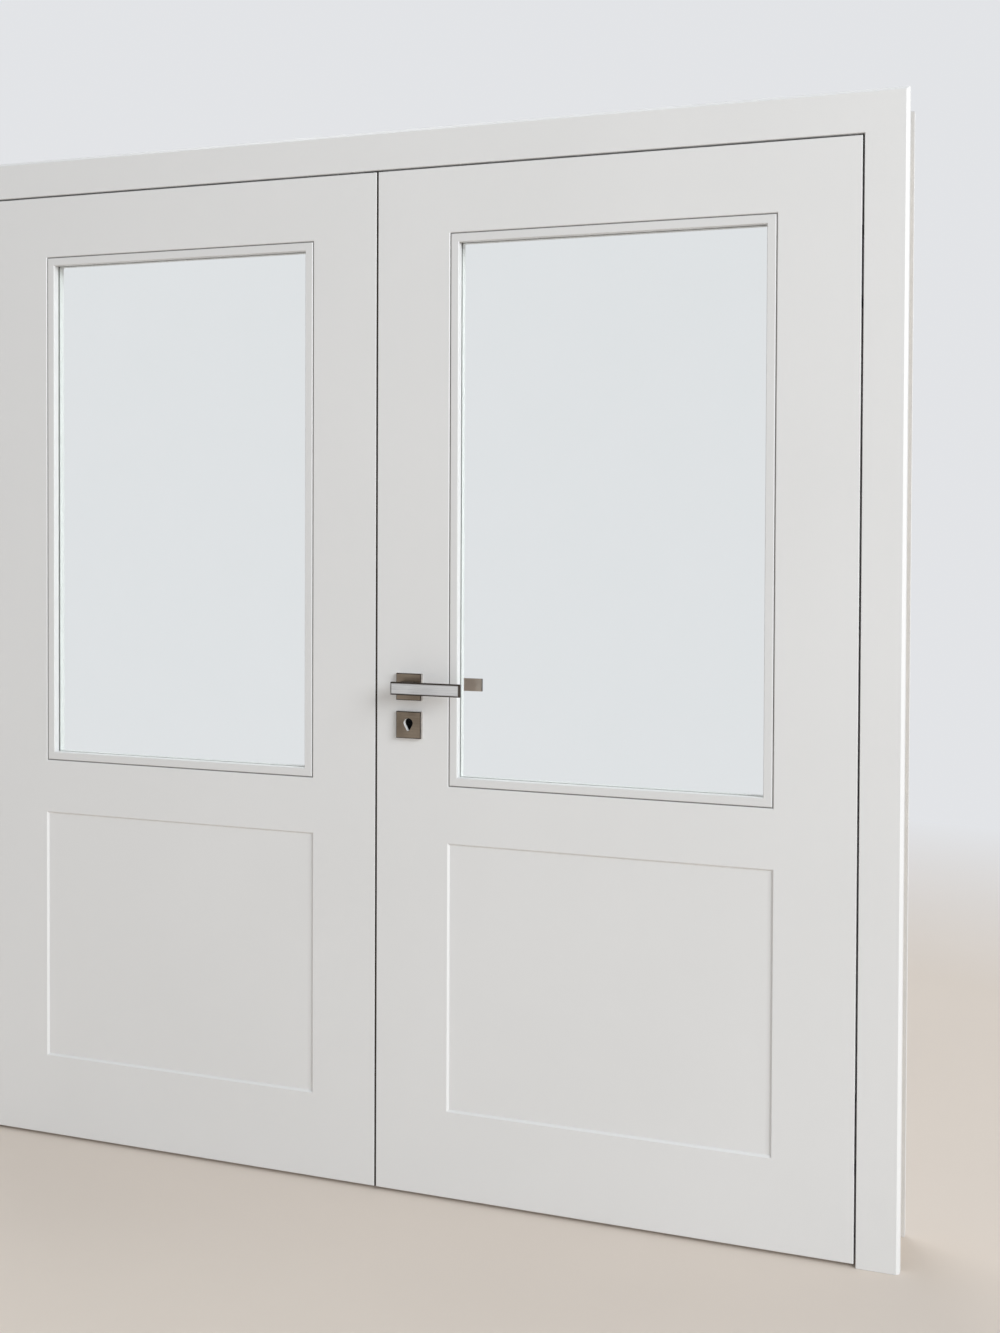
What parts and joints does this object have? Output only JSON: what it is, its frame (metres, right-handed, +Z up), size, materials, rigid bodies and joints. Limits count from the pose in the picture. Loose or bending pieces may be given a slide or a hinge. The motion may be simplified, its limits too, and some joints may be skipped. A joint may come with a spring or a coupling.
{
  "type": "double interior door with frame",
  "caption": "Pair of flush white interior door leaves with a glazed upper window and a sunk lower panel, in a lined and cased wall frame, on concealed hinges, with lever handle and bolts.",
  "frame": {"origin": "on the finished floor, midway between the two side casings, in the plane of the flush front of leaves and casings", "axes": "+X along the wall towards the active leaf's hinges, +Y into the wall, +Z up"},
  "size_m": [2.111, 0.233, 2.188],
  "materials": {
    "white_lacquer": "satin white lacquer",
    "dark_seal": "matt extruded rubber",
    "grey_gasket": "matt extruded rubber",
    "clear_glass": "clear float glass",
    "lever_steel": "fine lengthwise brushing",
    "bronze_steel": "brushed, brownish grey",
    "plate_steel": "satin stainless steel",
    "hinge_zinc": "satin die casting",
    "zinc_plate": "zinc-plated sheet",
    "receiver_timber": "planed softwood"
  },
  "bodies": {
    "frame": {"casing_front_left": "white_lacquer", "casing_front_right": "white_lacquer", "casing_front_head": "white_lacquer", "lining_left": "white_lacquer", "lining_right": "white_lacquer", "lining_head": "white_lacquer", "stop_left": "white_lacquer", "stop_right": "white_lacquer", "stop_head": "white_lacquer", "casing_back_left": "white_lacquer", "casing_back_right": "white_lacquer", "casing_back_head": "white_lacquer", "frame_seal_left": "dark_seal", "frame_seal_right": "dark_seal", "frame_seal_head": "dark_seal", "head_strike_plate": "plate_steel", "hinge_receivers_left": "receiver_timber", "hinge_receivers_right": "receiver_timber", "hinge_cups_frame_left": "hinge_zinc", "hinge_cups_frame_right": "hinge_zinc", "hinge_pins_frame_left": "hinge_zinc", "hinge_pins_frame_right": "hinge_zinc"},
    "left_links": {"hinge_arms_left": "hinge_zinc"},
    "right_links": {"hinge_arms_right": "hinge_zinc"},
    "passive_leaf": {"passive_slab": "white_lacquer", "passive_bead_front": "white_lacquer", "passive_bead_back": "white_lacquer", "passive_gasket_front": "grey_gasket", "passive_gasket_back": "grey_gasket", "passive_glass": "clear_glass", "strike_plate": "plate_steel", "meeting_seal": "dark_seal", "flush_bolt_body_top": "plate_steel", "flush_bolt_body_bottom": "plate_steel", "hinge_cups_leaf_left": "hinge_zinc", "hinge_pins_leaf_left": "hinge_zinc"},
    "active_leaf": {"active_slab": "white_lacquer", "active_bead_front": "white_lacquer", "active_bead_back": "white_lacquer", "active_gasket_front": "grey_gasket", "active_gasket_back": "grey_gasket", "active_glass": "clear_glass", "lock_case": "zinc_plate", "lock_forend": "plate_steel", "handle_rosette_front": "bronze_steel", "handle_rosette_back": "bronze_steel", "key_rosette_front": "bronze_steel", "key_rosette_back": "bronze_steel", "hinge_cups_leaf_right": "hinge_zinc", "hinge_pins_leaf_right": "hinge_zinc"},
    "handle": {"lever_front": "lever_steel", "lever_back": "lever_steel", "spindle": "zinc_plate", "lock_follower": "zinc_plate"},
    "latch": {"latch_bolt": "plate_steel"},
    "deadbolt": {"dead_bolt": "plate_steel"},
    "top_bolt": {"flush_bolt_rod_top": "plate_steel", "flush_bolt_thumb_top": "plate_steel"},
    "bottom_bolt": {"flush_bolt_rod_bottom": "plate_steel", "flush_bolt_thumb_bottom": "plate_steel"}
  },
  "joints": [
    {"name": "left_link_swing", "type": "hinge", "parent": "frame", "child": "left_links", "pos_m": [-0.9955, 0.008, 1.0555], "axis": [0, 0, -1], "range_deg": [0, 87.5]},
    {"name": "left_leaf_swing", "type": "hinge", "parent": "left_links", "child": "passive_leaf", "pos_m": [-0.9515, 0.008, 1.0555], "axis": [0, 0, -1], "range_deg": [0, 87.5]},
    {"name": "right_link_swing", "type": "hinge", "parent": "frame", "child": "right_links", "pos_m": [0.9955, 0.008, 1.0555], "axis": [0, 0, 1], "range_deg": [0, 87.5]},
    {"name": "right_leaf_swing", "type": "hinge", "parent": "right_links", "child": "active_leaf", "pos_m": [0.9515, 0.008, 1.0555], "axis": [0, 0, 1], "range_deg": [0, 87.5]},
    {"name": "lever_turn", "type": "hinge", "parent": "active_leaf", "child": "handle", "pos_m": [0.069, 0.02, 1.05], "axis": [0, 1, 0], "range_deg": [0, 40], "stiffness_Nm_per_rad": 1.5, "springref_deg": -20.05},
    {"name": "latch_slide", "type": "slide", "parent": "active_leaf", "child": "latch", "axis": [-1, 0, 0], "range_m": [0, 0.01], "stiffness_N_per_m": 60},
    {"name": "deadbolt_slide", "type": "slide", "parent": "active_leaf", "child": "deadbolt", "axis": [-1, 0, 0], "range_m": [0, 0.015]},
    {"name": "top_bolt_slide", "type": "slide", "parent": "passive_leaf", "child": "top_bolt", "axis": [0, 0, 1], "range_m": [0, 0.014]},
    {"name": "bottom_bolt_slide", "type": "slide", "parent": "passive_leaf", "child": "bottom_bolt", "axis": [0, 0, -1], "range_m": [0, 0.014]}
  ],
  "couplings": [
    {"joint": "left_link_swing", "follows": "left_leaf_swing", "ratio": 1},
    {"joint": "right_link_swing", "follows": "right_leaf_swing", "ratio": 1}
  ]
}
